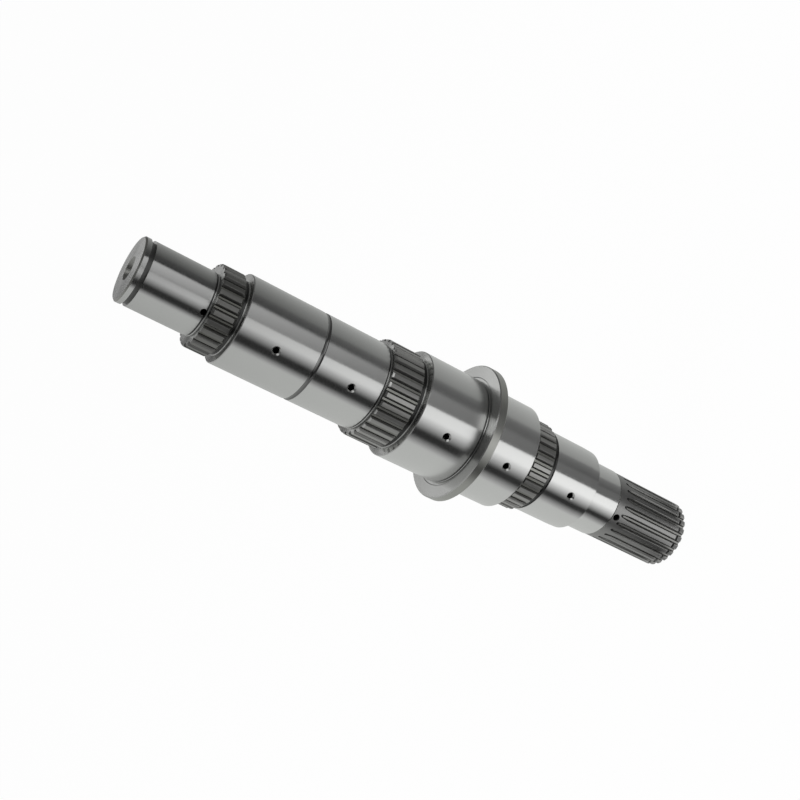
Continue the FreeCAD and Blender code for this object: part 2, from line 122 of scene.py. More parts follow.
REAR_SHOULDER, TAPER_TOP = 106.8, 115.4
REAR_RING_FOOT = 155.2
REVERSE_FOOT = 180.7
LOW_SHOULDER = 289.7
LONG_FOOT, LONG_RELIEF_TOP = 322.3, 324.5
LONG_TOP, LONG_SHOULDER = 444.7, 445.3
SPIGOT_FOOT, SPIGOT_RELIEF_TOP = 468.05, 470.25
SPIGOT_TOP, END_FACE = 526.0, 527.2

# Shared small sizes in millimetres

UNDERCUT = 0.6
EDGE = 0.6
COLLAR_EDGE = 0.8
FILLET = 0.7


# Materials


GROUND, FACED, RIM, SHADED_RING, SHADED_RELIEF, DULL, DULL_ROOT, LAND = range(8)
ROOT, MATT, MATT_ROOT, SHADED_FLANK, SHADED_CORNER, SHADED_BORE, SHADED_GROOVE = range(8, 15)

# Finish of every face between two heights and two radii
ROUND_FINISHES = [
    # Mouth of the centre hole, broken edge of the spigot, and the dividing ring darkened as painted shade
    (520.0, 528.0, 0.0, 9.0, RIM),
    (525.9, 528.0, 24.5, 30.0, RIM),
    (*DIVIDING_RING, 30.0, 40.0, SHADED_RING),
    # Edge of the relief in the collar's face, darkened as painted shade, and the slope up to the low journal
    (233.35, 233.55, 47.0, 50.0, SHADED_RELIEF),
    (234.8, LOW_JOURNAL[0], 44.0, 50.0, GROUND),
    # Broken edge of the foot, front hub spline
    (0.0, 1.0, 27.0, 30.0, MATT),
    (448.0, 468.0, 25.0, 40.0, DULL),
]

# Finish of the upright faces between two heights
UPRIGHT_FINISHES = [
    (*COLLAR_RIM, RIM),
    # Painted shade: the foot's teeth below the ring groove and the snap ring groove take the dark groove
    # colour
    (FOOT_EDGE[1], FOOT_GROOVE[0], SHADED_GROOVE),
    (*SNAP_GROOVE, SHADED_GROOVE),
    # Reliefs and run-out rings, darkened as painted shade
    (SPIGOT_FOOT, SPIGOT_RELIEF_TOP, SHADED_RELIEF),
    (LONG_SHOULDER, 450.8, SHADED_RELIEF),
    (LONG_FOOT, LONG_RELIEF_TOP, SHADED_RELIEF),
    (LOW_SHOULDER, 295.35, SHADED_RELIEF),
    (233.3, 234.8, SHADED_RELIEF),
    (REVERSE_JOURNAL[1], COLLAR[0], SHADED_RELIEF),
    (REAR_SPLINE[1], REVERSE_FOOT, SHADED_RELIEF),
    (REAR_JOURNAL[1], 158.45, SHADED_RELIEF),
    (*SEAT_LINE, SHADED_RELIEF),
    (*FOOT_GROOVE, SHADED_RELIEF),
    # Journals and the bearing seat with its relief
    (SPIGOT_RELIEF_TOP, SNAP_GROOVE[0], GROUND),
    (SNAP_GROOVE[1], SPIGOT_TOP, GROUND),
    (LONG_RELIEF_TOP, DIVIDING_RING[0], GROUND),
    (DIVIDING_RING[1], LONG_TOP, GROUND),
    (*LOW_JOURNAL, GROUND),
    (*REVERSE_JOURNAL, GROUND),
    (*REAR_JOURNAL, GROUND),
    (BEARING_SEAT[0], REAR_SHOULDER, GROUND),
    # Output spline
    (0.0, SEAT_LINE[1], MATT),
]


class SteelLook(PropertyGroup):
    ground: colour("Ground Steel", "Colour of the ground journals", (0.745, 0.75, 0.74))
    faced: colour("Faced Steel", "Colour of the ground faces and shoulders", (0.68, 0.685, 0.67))
    rim: colour("Rim Steel", "Colour of the collar's turned rim", (0.44, 0.445, 0.42))
    # Painted shade: dark colour in the shallow groove of the dividing ring
    ring: colour("Ring Steel", "Colour of the dividing ring", (0.25, 0.252, 0.248))
    # Painted shade: dark colour in the snap ring groove and on the foot's teeth near the floor
    groove: colour("Groove Steel", "Colour of the snap ring groove and the foot", (0.17, 0.172, 0.168))
    # Painted shade: dark colour in the reliefs and run-out rings, where shade falls
    relief: colour("Relief Steel", "Colour of the reliefs and run-out rings", (0.1, 0.101, 0.1))
    dull: colour("Dull Steel", "Colour of the front hub spline's lands", (0.28, 0.28, 0.27))
    dull_root: colour("Dull Root Steel", "Colour of the front hub spline's roots", (0.27, 0.272, 0.25))
    land: colour("Land Steel", "Colour of the other hub splines' lands", (0.43, 0.43, 0.418))
    root: colour("Root Steel", "Colour of the other hub splines' roots", (0.37, 0.374, 0.35))
    matt: colour("Matt Steel", "Colour of the output spline's lands", (0.33, 0.33, 0.325))
    matt_root: colour("Matt Root Steel", "Colour of the output spline's roots", (0.3, 0.3, 0.287))
    # Painted shade: the flanks are the same steel as the lands, darkened to stand for the shade between the
    # teeth
    flank: colour("Flank Steel", "Colour of the tooth flanks", (0.27, 0.27, 0.262))
    # Painted shade: near-black colour in the rounded corners at the feet of the teeth, where shade falls
    corner: colour("Corner Steel", "Colour of the shaded corners at the feet of the teeth", (0.03, 0.03, 0.03))
    # Painted shade: near-black colour inside the drilled holes, the centre hole and the gallery, where shade
    # falls
    bore: colour("Bore Steel", "Colour inside the drilled oil ways", (0.03, 0.03, 0.03))
    ground_rough: share("Ground Roughness", "Roughness of the ground journals", 0.21)
    faced_rough: share("Faced Roughness", "Roughness of the ground faces and shoulders", 0.22)
    rim_rough: share("Rim Roughness", "Roughness of the collar's turned rim", 0.36)
    hobbed_rough: share("Hobbed Roughness", "Roughness of the teeth", 0.38)
    dull_rough: share("Dull Roughness", "Roughness of the front and output splines' lands", 0.42)
    grinding: share("Grinding Lines", "How strongly the grinding lines stretch reflections", 0.9)
    facing: share("Facing Lines", "How strongly the facing lines stretch reflections", 0.85)


def sizes():
    return bpy.context.scene.shaft_sizes


def look():
    return bpy.context.scene.steel_look


def studio():
    return bpy.context.scene.studio_sizes


def new_node(tree, kind, place, **inputs):
    node = tree.nodes.new(kind)
    node.location = place
    for name, value in inputs.items():
        node.inputs[name.replace("_", " ")].default_value = value
    return node


def reckon(tree, operation, place, *terms):
    """The result of a maths node, whose terms are numbers or other nodes' outputs."""
    node = new_node(tree, "ShaderNodeMath", place)
    node.operation = operation
    for socket, term in zip(node.inputs, terms):
        if isinstance(term, float):
            socket.default_value = term
        else:
            tree.links.new(term, socket)
    return node.outputs[0]


def steel(name, tint, rough, stretch, line_scale, line_depth, blotch):
    """Bare steel with fine lines round the axis; each finish has its own line spacing."""
    material = bpy.data.materials.new(name)
    material.use_nodes = True
    tree = material.node_tree
    shader = tree.nodes["Principled BSDF"]
    shader.inputs["Metallic"].default_value = 1.0
    shader.inputs["Anisotropic"].default_value = stretch
    # A quarter turn: lines round the axis blur reflections across themselves
    shader.inputs["Anisotropic Rotation"].default_value = 0.25
    place = new_node(tree, "ShaderNodeTexCoord", (-1300, 0))

    # Lines run round the shaft, so the pattern hardly changes across and changes fast along it
    lines_map = new_node(tree, "ShaderNodeMapping", (-1100, -150), Scale=(18.0, 18.0, line_scale))
    tree.links.new(place.outputs["Object"], lines_map.inputs["Vector"])
    lines = new_node(tree, "ShaderNodeTexNoise", (-900, -150), Scale=1.0, Detail=3.0, Roughness=0.6)
    tree.links.new(lines_map.outputs["Vector"], lines.inputs["Vector"])

    cloud = new_node(tree, "ShaderNodeTexNoise", (-900, 150), Scale=38.0, Detail=4.0, Roughness=0.55)
    tree.links.new(place.outputs["Object"], cloud.inputs["Vector"])

    # Half lines and half cloud make the tone and the gloss
    half = reckon(tree, "MULTIPLY", (-700, 0), cloud.outputs["Fac"], 0.5)
    blend = reckon(tree, "MULTIPLY_ADD", (-700, 150), lines.outputs["Fac"], 0.5, half)
    tone = new_node(tree, "ShaderNodeMix", (-500, 200))
    tone.data_type = "RGBA"
    tone.inputs["A"].default_value = (*[c * (1 - blotch) for c in tint], 1)
    tone.inputs["B"].default_value = (*[min(1, c * (1 + blotch)) for c in tint], 1)
    tree.links.new(blend, tone.inputs["Factor"])
    tree.links.new(tone.outputs["Result"], shader.inputs["Base Color"])

    gloss = new_node(tree, "ShaderNodeMapRange", (-500, -100))
    gloss.inputs["To Min"].default_value = rough * 0.8
    gloss.inputs["To Max"].default_value = rough * 1.2
    tree.links.new(blend, gloss.inputs["Value"])
    tree.links.new(gloss.outputs["Result"], shader.inputs["Roughness"])

    bump = new_node(tree, "ShaderNodeBump", (-500, -350), Strength=line_depth, Distance=0.00002)
    tree.links.new(lines.outputs["Fac"], bump.inputs["Height"])
    tree.links.new(bump.outputs["Normal"], shader.inputs["Normal"])

    if stretch > 0:
        round_axis = new_node(tree, "ShaderNodeTangent", (-300, -500))
        round_axis.direction_type = "RADIAL"
        round_axis.axis = "Z"
        tree.links.new(round_axis.outputs["Tangent"], shader.inputs["Tangent"])
    return material


def steel_finishes():
    """The materials in the order of their numbers above."""
    s = look()
    return [
        steel("ground_steel", s.ground, s.ground_rough, s.grinding, 9000, 0.2, 0.05),
        steel("faced_steel", s.faced, s.faced_rough, s.facing, 9000, 0.1, 0.05),
        steel("rim_steel", s.rim, s.rim_rough, 0.4, 3500, 0.5, 0.12),
        steel("ring_shade_steel", s.ring, 0.2, 0.5, 3500, 0.3, 0.15),
        steel("relief_shade_steel", s.relief, 0.25, 0.5, 3500, 0.3, 0.15),
        steel("dull_steel", s.dull, s.dull_rough, 0.3, 2500, 0.3, 0.15),
        steel("dull_root_steel", s.dull_root, s.dull_rough, 0.0, 1200, 0.3, 0.15),
        steel("land_steel", s.land, s.hobbed_rough, 0.3, 2500, 0.3, 0.12),
        steel("root_steel", s.root, s.hobbed_rough, 0.0, 1200, 0.3, 0.15),
        steel("matt_steel", s.matt, s.dull_rough, 0.3, 2500, 0.4, 0.12),
        steel("matt_root_steel", s.matt_root, s.dull_rough, 0.0, 1500, 0.4, 0.12),
        steel("flank_shade_steel", s.flank, s.hobbed_rough, 0.0, 1200, 0.3, 0.2),
        steel("corner_shade_steel", s.corner, 0.45, 0.0, 1200, 0.3, 0.2),
        steel("bore_shade_steel", s.bore, 0.5, 0.0, 1500, 0.3, 0.2),
        steel("groove_shade_steel", s.groove, s.dull_rough, 0.4, 3500, 0.3, 0.15),
    ]


def turned_finish(face):
    """The finish that a face of the turned body takes, by its radius, height and slope."""
    out = math.hypot(face.center.x, face.center.y) / MM
    height = face.center.z / MM
    # Painted shade: the gallery and the centre hole take the near-black bore colour
    if out < 5.5 or (height < 17 and out < 6.5):
        return SHADED_BORE
    for low, high, inner, outer, finish in ROUND_FINISHES:
        if low < height < high and inner < out < outer:
            return finish
    upright = abs(face.normal.z) < 0.1
    if not upright:
        return FACED
    for low, high, finish in UPRIGHT_FINISHES:
        if low < height < high:
            return finish
    return LAND


# Modelling steps that every piece uses


def deselect():
    if bpy.context.mode != "OBJECT":
        bpy.ops.object.mode_set(mode="OBJECT")
    bpy.ops.object.select_all(action="DESELECT")


def activate(thing):
    deselect()
    thing.select_set(True)
    bpy.context.view_layer.objects.active = thing


def settle(thing):
    activate(thing)
    bpy.ops.object.transform_apply(location=True, rotation=True, scale=True)


def fillet(radius, height):
    """The corners of a small fillet where a shoulder meets the ring under it."""
    return [
        (radius + FILLET, height), (radius + 0.5 * FILLET, height + 0.13 * FILLET),
        (radius + 0.13 * FILLET, height + 0.5 * FILLET), (radius, height + FILLET),
    ]


def turned_profile():
    """Radius and height in millimetres of every corner of the turned form, from the foot's centre on."""
    s = sizes()
    spigot, long_j, low_j = s.spigot_radius / MM, s.long_journal_radius / MM, s.low_journal_radius / MM
    collar, reverse_j = s.collar_radius / MM, s.reverse_journal_radius / MM
    rear_j = s.rear_journal_radius / MM
    seat, output = s.bearing_seat_radius / MM, s.output_radius / MM
    front_s, middle_s, rear_s = (
        s.front_spline_radius / MM, s.middle_spline_radius / MM, s.rear_spline_radius / MM)
    gallery, axis = s.gallery_radius / MM, 0.03
    centre_hole, rear_ring, middle_ring, front_ring = 3.15, 36.5, 38.3, 30.3
    foot_groove, snap_groove = output - 1.5, spigot - 1.9
    return [
        # Centre hole and foot face
        (axis, 16.0), (centre_hole, 14.1), (centre_hole, 5.98), (6.6, 0.0),
        (output - FOOT_EDGE[1], FOOT_EDGE[0]),
        # Output spline with its ring groove
        (output, FOOT_EDGE[1]), (output, FOOT_GROOVE[0]), (foot_groove, FOOT_GROOVE[0]),
        (foot_groove, FOOT_GROOVE[1]), (output, FOOT_GROOVE[1]), (output, SEAT_LINE[0]),
        (output - 0.5, 76.9), (output - 0.5, SEAT_LINE[1]),
        # Bearing seat and rear journal with its lead-in taper
        (seat - 0.4, SEAT_LINE[1]), (seat, BEARING_SEAT[0]), (seat, BEARING_SEAT[1]),
        (seat - UNDERCUT, BEARING_SEAT[1]), (seat - UNDERCUT, REAR_SHOULDER),
        (rear_j - 0.95, REAR_SHOULDER), (rear_j - 0.35, REAR_JOURNAL[0]), (rear_j, TAPER_TOP),
        (rear_j, REAR_JOURNAL[1]), (rear_j - 1.1, REAR_JOURNAL[1]), (rear_j - 1.1, REAR_RING_FOOT),
        # Rear hub spline between its rings
        (rear_ring, REAR_RING_FOOT), (rear_ring, 156.6), (rear_s, REAR_SPLINE[0]), (rear_s, REAR_SPLINE[1]),
        (rear_ring, REAR_SPLINE[1]), (rear_ring, REVERSE_FOOT),
        # Reverse journal
        (reverse_j - EDGE, REVERSE_FOOT), (reverse_j, REVERSE_JOURNAL[0]), (reverse_j, REVERSE_JOURNAL[1]),
        (reverse_j - UNDERCUT, REVERSE_JOURNAL[1]), (reverse_j - UNDERCUT, COLLAR[0]),
        # Collar, with the low journal's relief cut into its face
        (collar - COLLAR_EDGE, COLLAR[0]), (collar, COLLAR_RIM[0]), (collar, COLLAR_RIM[1]),
        (collar - COLLAR_EDGE, COLLAR[1]), (low_j + 2.6, COLLAR[1]), (low_j + 2.1, 233.3),
        (low_j - 0.3, 233.3), (low_j - UNDERCUT, 233.7), (low_j - UNDERCUT, 234.8),
        # Low journal
        (low_j, LOW_JOURNAL[0]), (low_j, LOW_JOURNAL[1]), (low_j - EDGE, LOW_SHOULDER),
        # Middle hub spline
        *fillet(middle_ring, LOW_SHOULDER), (middle_ring, 293.0), (middle_s, MIDDLE_SPLINE[0]),
        (middle_s, MIDDLE_SPLINE[1]), (middle_s - 0.75, LONG_FOOT),
        # Long journal with its dividing ring
        *fillet(long_j - UNDERCUT, LONG_FOOT), (long_j - UNDERCUT, LONG_RELIEF_TOP),
        (long_j, LONG_RELIEF_TOP), (long_j, DIVIDING_RING[0]), (long_j - 0.42, 378.45),
        (long_j - 0.66, 379.1), (long_j - 0.7, 379.7), (long_j - 0.66, 380.3), (long_j - 0.42, 380.95),
        (long_j, DIVIDING_RING[1]), (long_j, LONG_TOP), (long_j - EDGE, LONG_SHOULDER),
        # Front hub spline
        *fillet(front_ring, LONG_SHOULDER), (front_ring, 448.1), (front_s, FRONT_SPLINE[0]),
        (front_s, FRONT_SPLINE[1]), (front_s - 0.75, SPIGOT_FOOT),
        # Spigot with its ring groove
        *fillet(spigot - UNDERCUT, SPIGOT_FOOT), (spigot - UNDERCUT, SPIGOT_RELIEF_TOP),
        (spigot, SPIGOT_RELIEF_TOP), (spigot, SNAP_GROOVE[0]), (snap_groove, SNAP_GROOVE[0]),
        (snap_groove, SNAP_GROOVE[1]), (spigot, SNAP_GROOVE[1]), (spigot, SPIGOT_TOP),
        (spigot - 1.2, END_FACE),
        # Oil gallery down the axis
        (9.5, END_FACE), (gallery, 519.41), (gallery, 69.2), (axis, 66.2),
    ]


def turn_body(name, corners, steps):
    """A closed round body, drawn up from one circle corner by corner."""
    deselect()
    first_radius, first_height = corners[0]
    bpy.ops.mesh.primitive_circle_add(
        vertices=steps, radius=first_radius * MM, fill_type="NGON", location=(0, 0, first_height * MM))
    body = bpy.context.active_object
    body.name = name
    settle(body)
    bpy.ops.object.mode_set(mode="EDIT")
    bpy.ops.mesh.select_mode(type="EDGE")
    bpy.ops.mesh.select_all(action="SELECT")
    for (radius, height), (next_radius, next_height) in zip(corners, corners[1:]):
        bpy.ops.mesh.extrude_edges_move(
            TRANSFORM_OT_translate={"value": (0, 0, (next_height - height) * MM)})
        factor = next_radius / radius
        if abs(factor - 1) > 1e-9:
            bpy.ops.transform.resize(value=(factor, factor, 1), center_override=(0, 0, 0))
    bpy.ops.mesh.edge_face_add()
    bpy.ops.mesh.select_all(action="SELECT")
    bpy.ops.mesh.normals_make_consistent(inside=False)
    bpy.ops.object.mode_set(mode="OBJECT")
    return body


def space_rows(tip, height, floor, mouth, rounding):
    """Half widths of a tooth space, from its floor out: rounded foot, curved flank, broken tip edge."""
    root = tip - height
    slope = (mouth - floor) / 2 / height
    edge = math.sqrt(tip ** 2 - (mouth / 2) ** 2)
    hollow, break_height, break_width = 0.2, 0.3, 0.4

    def flank(radius):
        rise = (radius - root) / height
        return floor / 2 + slope * (radius - root) - hollow * rise * (1 - rise)

    foot = flank(root + rounding)
    rows = [(root, foot - 1.3 * rounding), (root + 0.1 * rounding, foot - 1.1 * rounding)]
    rows += [(root + 0.4 * rounding, foot - 0.6 * rounding), (root + rounding, foot)]
    rows += [(root + height * step, flank(root + height * step)) for step in (0.4, 0.6, 0.8)]
    break_start = flank(edge - break_height)
    rows += [(edge - break_height, break_start), (edge - 0.12, break_start + 0.15)]
    rows += [(edge + 0.01, break_start + break_width), (tip + 1.0, break_start + break_width)]
    return rows


def space_cutter(name, tip, height, floor, land, count, low, high, first_turn, root_finish, lift=None):
    """The cutters of one spline: a tooth space drawn out step by step, then copied round the axis."""
    mouth = 2 * math.pi * tip / count - land
    root = tip - height
    rounding = 0.5 if lift else 0.4
    rows = space_rows(tip, height, floor, mouth, rounding)
    deselect()
    bpy.ops.mesh.primitive_plane_add(size=1, location=(0, 0, low * MM))
    cutter = bpy.context.active_object
    cutter.name = name
    # The plane's far edge starts just above the floor and is drawn outwards
    here, half = rows[1]
    cutter.scale = (2 * half * MM, (here - root) * MM, 1)
    cutter.location.y = (root + here) / 2 * MM
    settle(cutter)
    bpy.ops.object.mode_set(mode="EDIT")
    bpy.ops.mesh.select_mode(type="EDGE")
    for radius, next_half in rows[2:]:
        bpy.ops.mesh.select_all(action="DESELECT")
        bpy.ops.object.mode_set(mode="OBJECT")
        for edge in cutter.data.edges:
            ends = [cutter.data.vertices[i].co.y for i in edge.vertices]
            edge.select = min(ends) > (here - 0.001) * MM
        bpy.ops.object.mode_set(mode="EDIT")
        bpy.ops.mesh.extrude_edges_move(TRANSFORM_OT_translate={"value": (0, (radius - here) * MM, 0)})
        if next_half != half:
            bpy.ops.transform.resize(value=(next_half / half, 1, 1), center_override=(0, 0, low * MM))
        here, half = radius, next_half
    bpy.ops.object.mode_set(mode="OBJECT")
    # Each row's sides take the row's finish when the space is drawn along the shaft: the floor its root
    # finish, the rounded foot a near-black colour as painted shade and the flank a darkened colour as painted
    # shade
    for face in cutter.data.polygons:
        rise = face.center.y / MM - root
        face.material_index = root_finish if rise < 0.1 * rounding else SHADED_CORNER if rise < rounding else SHADED_FLANK
    bpy.ops.object.mode_set(mode="EDIT")
    bpy.ops.mesh.select_mode(type="FACE")
    bpy.ops.mesh.select_all(action="SELECT")
    bpy.ops.mesh.extrude_region_move(TRANSFORM_OT_translate={"value": (0, 0, (high - low) * MM)})
    if lift:
        # The cutter leaves the work along an arc about an axis beside the shaft
        arc_steps, arc = 18, math.radians(40)
        bpy.ops.mesh.spin(
            steps=arc_steps, angle=arc, center=(0, (root + lift) * MM, high * MM), axis=(1, 0, 0))
    bpy.ops.mesh.select_all(action="SELECT")
    bpy.ops.mesh.remove_doubles(threshold=1e-7)
    bpy.ops.mesh.normals_make_consistent(inside=False)
    bpy.ops.mesh.spin(
        steps=count - 1, angle=2 * math.pi * (count - 1) / count, dupli=True,
        center=(0, 0, 0), axis=(0, 0, 1))
    bpy.ops.mesh.select_all(action="SELECT")
    bpy.ops.transform.rotate(value=-first_turn, orient_axis="Z", center_override=(0, 0, 0))
    bpy.ops.object.mode_set(mode="OBJECT")
    return cutter


def drill(name, place, radius, surface, mouth_radius):
    """A radial drill from the axis out through the -Y side, with a wider mouth."""
    deselect()
    sink = (mouth_radius - radius) if mouth_radius else 0
    depth = surface - sink if mouth_radius else surface + 1
    bpy.ops.mesh.primitive_cylinder_add(
        vertices=48, radius=radius * MM, depth=depth * MM, rotation=(math.pi / 2, 0, 0),
        location=(0, -depth / 2 * MM, place * MM))
    tool = bpy.context.active_object
    tool.name = name
    settle(tool)
    if mouth_radius:
        bpy.ops.object.mode_set(mode="EDIT")
        bpy.ops.mesh.select_mode(type="FACE")
        bpy.ops.mesh.select_all(action="DESELECT")
        bpy.ops.object.mode_set(mode="OBJECT")
        for face in tool.data.polygons:
            face.select = face.center.y < -(depth - 0.01) * MM
        bpy.ops.object.mode_set(mode="EDIT")
        bpy.ops.mesh.extrude_region_move(TRANSFORM_OT_translate={"value": (0, -(sink + 1) * MM, 0)})
        factor = (mouth_radius + 1) / radius
        bpy.ops.transform.resize(value=(factor, 1, factor), center_override=(0, 0, place * MM))
        bpy.ops.object.mode_set(mode="OBJECT")
    return tool


def cut(body, tool):
    """Cut with a tool whose faces leave their own finishes behind."""
    for material in body.data.materials:
        tool.data.materials.append(material)
    activate(body)
    modifier = body.modifiers.new("cut", "BOOLEAN")
    modifier.operation = "DIFFERENCE"
    modifier.solver = "EXACT"
    modifier.material_mode = "TRANSFER"
    modifier.object = tool
    before = len(body.data.polygons)
    bpy.ops.object.modifier_apply(modifier=modifier.name)
    if len(body.data.polygons) == before:
        raise RuntimeError(tool.name + " cuts nothing")
    bpy.data.objects.remove(tool)


def shaft():
    found = bpy.data.objects.get("turned_shaft")
    if found is None:
        raise RuntimeError("turn the shaft first")
    return found


class MAINSHAFT_OT_turn(Operator):
    """Turn the shaft's body on the lathe: journals, collar, shoulders, grooves, centre hole and gallery"""

    bl_idname = "main_shaft.turn"
    bl_label = "Turn the Shaft"

    def execute(self, context):
        body = turn_body("turned_shaft", turned_profile(), sizes().steps)
        for finish in steel_finishes():
            body.data.materials.append(finish)
        for face in body.data.polygons:
            face.material_index = turned_finish(face)
        return {"FINISHED"}


class MAINSHAFT_OT_hub_splines(Operator):
    """Hob the teeth of the three hub splines"""

    bl_idname = "main_shaft.hub_splines"
    bl_label = "Hob the Hub Splines"

    def execute(self, context):
        body, s = shaft(), sizes()
        # Tip radius, then height, floor, land, count, lower and upper end, and turn of the first space
        splines = [
            ("front_cutter", s.front_spline_radius, 2.5, 1.9, 3.6, 26, 446.7, 472.0, 1.28, DULL_ROOT),
            ("middle_cutter", s.middle_spline_radius, 2.3, 2.2, 3.4, 32, 291.3, 326.0, 6.22, ROOT),
            ("rear_cutter", s.rear_spline_radius, 2.2, 2.5, 3.35, 31, 155.9, 178.0, 3.70, ROOT),
        ]
        for name, tip, height, floor, land, count, low, high, first, root_finish in splines:
            cut(body, space_cutter(
                name, tip / MM, height, floor, land, count, low, high, math.radians(first), root_finish))
        return {"FINISHED"}


class MAINSHAFT_OT_output_spline(Operator):
    """Hob the output spline, whose spaces run out in pointed ovals where the cutter lifts"""

    bl_idname = "main_shaft.output_spline"
    bl_label = "Hob the Output Spline"

    def execute(self, context):
        body = shaft()
        tool = space_cutter(
            "output_cutter", tip=sizes().output_radius / MM, height=2.1, floor=2.1, land=3.2, count=24,
            low=-1.0, high=58.6, first_turn=math.radians(6.93), root_finish=MATT_ROOT, lift=30.0)
        # Painted shade: past this height the floors of the spaces, where they run out, take the near-black
        # corner colour
        shaded_nose = 66.8 * MM
        for face in tool.data.polygons:
            if face.center.z > shaded_nose and face.material_index == MATT_ROOT:
                face.material_index = SHADED_CORNER
        cut(body, tool)
        return {"FINISHED"}


class MAINSHAFT_OT_oil_ways(Operator):
    """Drill the radial oil holes with their countersunk mouths"""

    bl_idname = "main_shaft.oil_ways"
    bl_label = "Drill the Oil Holes"

    def execute(self, context):
        body, s = shaft(), sizes()
        bright_mouth, shaded_mouth = 3.8, 3.2
        holes = [
            ("spigot_drill", 471.3, s.spigot_radius, None),
            ("front_drill", 413.1, s.long_journal_radius, bright_mouth),
            ("middle_drill", 347.2, s.long_journal_radius, bright_mouth),
            ("low_drill", 261.2, s.low_journal_radius, bright_mouth),
            ("reverse_drill", 201.4, s.reverse_journal_radius, bright_mouth),
            ("rear_drill", 128.3, s.rear_journal_radius, bright_mouth),
            ("output_drill", 72.9, s.output_radius, shaded_mouth),
        ]
        for name, place, surface, mouth in holes:
            tool = drill(name, place, s.oil_hole_radius / MM, surface / MM, mouth)
            # Painted shade: the bores, and the whole countersink of the output hole, take the near-black bore
            # colour; the other countersinks keep faced steel
            for face in tool.data.polygons:
                bright = mouth == bright_mouth and abs(face.normal.y) > 0.2
                face.material_index = FACED if bright else SHADED_BORE
            cut(body, tool)
        return {"FINISHED"}


class MAINSHAFT_OT_finish(Operator):
    """Round off the work: keep the edges crisp, smooth the turned faces and take the solid's place"""

    bl_idname = "main_shaft.finish"
    bl_label = "Finish the Shaft"

    def execute(self, context):
        body = shaft()
        activate(body)
        bpy.ops.object.mode_set(mode="EDIT")
        bpy.ops.mesh.select_all(action="SELECT")
        bpy.ops.mesh.remove_doubles(threshold=2e-7)
        bpy.ops.mesh.normals_make_consistent(inside=False)
        bpy.ops.mesh.select_mode(type="EDGE")
        bpy.ops.mesh.select_all(action="DESELECT")
        bpy.ops.object.mode_set(mode="OBJECT")
        # The lead-in taper meets the journal at too small an angle to be found by angle alone
        corners = body.data.vertices
        for edge in body.data.edges:
            heights = [corners[i].co.z / MM for i in edge.vertices]
            edge.select = all(abs(height - TAPER_TOP) < 0.01 for height in heights)
        bpy.ops.object.mode_set(mode="EDIT")
        bpy.ops.mesh.mark_sharp()
        bpy.ops.object.mode_set(mode="OBJECT")
        bpy.ops.object.shade_smooth_by_angle(angle=math.radians(15), keep_sharp_edges=True)
        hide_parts("main_shaft")
        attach(body, "root")
        return {"FINISHED"}


# Studio


def area_lamp(name, place, width, height, power):
    """A soft rectangle of light, turned to the shaft's middle and left out of reflections."""
    deselect()
    bpy.ops.object.light_add(type="AREA", location=place)
    lamp = bpy.context.active_object
    lamp.name = name
    lamp.data.shape = "RECTANGLE"
    lamp.data.size, lamp.data.size_y = width, height
    lamp.data.energy = power
    lamp.visible_glossy = False
    target = Vector((0, 0, 0.3))
    lamp.rotation_euler = (target - Vector(place)).to_track_quat("-Z", "Y").to_euler()


def graded_glow(name):
    """A card that only reflections see, as bright as its colour attribute says."""
    material = bpy.data.materials.new(name)
    material.use_nodes = True
    tree = material.node_tree
    tree.nodes.clear()
    grey = new_node(tree, "ShaderNodeVertexColor", (-200, 0))
    grey.layer_name = "Grade"
    glow = new_node(tree, "ShaderNodeEmission", (0, 0))
    tree.links.new(grey.outputs["Color"], glow.inputs["Color"])
    out = new_node(tree, "ShaderNodeOutputMaterial", (200, 0))
    tree.links.new(glow.outputs[0], out.inputs["Surface"])
    return material


def hang_card(name, cells, place_point, greys_at, tint=(1, 1, 1)):
    """A graded card for reflections only: a grid placed by how far across and along (0 to 1) a point lies."""
    deselect()
    bpy.ops.mesh.primitive_grid_add(x_subdivisions=cells[0], y_subdivisions=cells[1], size=2)
    board = bpy.context.active_object
    board.name = name
    grade = board.data.color_attributes.new("Grade", "FLOAT_COLOR", "POINT")
    for point, tone in zip(board.data.vertices, grade.data):
        across, along = (point.co.x + 1) / 2, (point.co.y + 1) / 2
        point.co = place_point(across, along)
        grey = greys_at(across, along)
        tone.color = (*[grey * part for part in tint], 1)
    board.data.materials.append(graded_glow(name + "_glow"))
    board.visible_camera = False
    board.visible_diffuse = False
    board.visible_shadow = False
    board.visible_transmission = False


def between(pair, share_along):
    return pair[0] + (pair[1] - pair[0]) * share_along


def compass(bearing):
    """The direction in the frame of a bearing in degrees from the camera's side round to the right."""
    return math.radians(-90) + studio().azimuth - math.radians(bearing)


def floor_card(name, near_edges, far_edges, near_greys, far_greys, tint=(1, 1, 1)):
    """A graded sector on the floor that rises as a wall at its far end.

    Its edges are bearings, and both edges and greys may differ near and far from the shaft.
    """
    near, far, lift = 0.034, 3.0, 0.002
    wall_share, wall_height = 0.25, 0.7
    turn_start, turn_length, grey_delay = 0.5, 0.43, 1.5

    def part_way(run):
        """How far the card has turned from its near to its far edges."""
        return min(1, max(0, (run - turn_start) / turn_length))

    def place_point(across, along):
        run = min(1, along / (1 - wall_share))
        edges = [between(pair, part_way(run)) for pair in zip(near_edges, far_edges)]
        bearing = compass(between(edges, across))
        distance = near * (far / near) ** run
        height = lift + wall_height * max(0, (along - 1 + wall_share) / wall_share)
        return distance * math.cos(bearing), distance * math.sin(bearing), height

    def greys_at(across, along):
        run = min(1, along / (1 - wall_share))
        greys = [between(pair, part_way(run) ** grey_delay) for pair in zip(near_greys, far_greys)]
        return between(greys, across)

    hang_card(name, (12, 24), place_point, greys_at, tint)


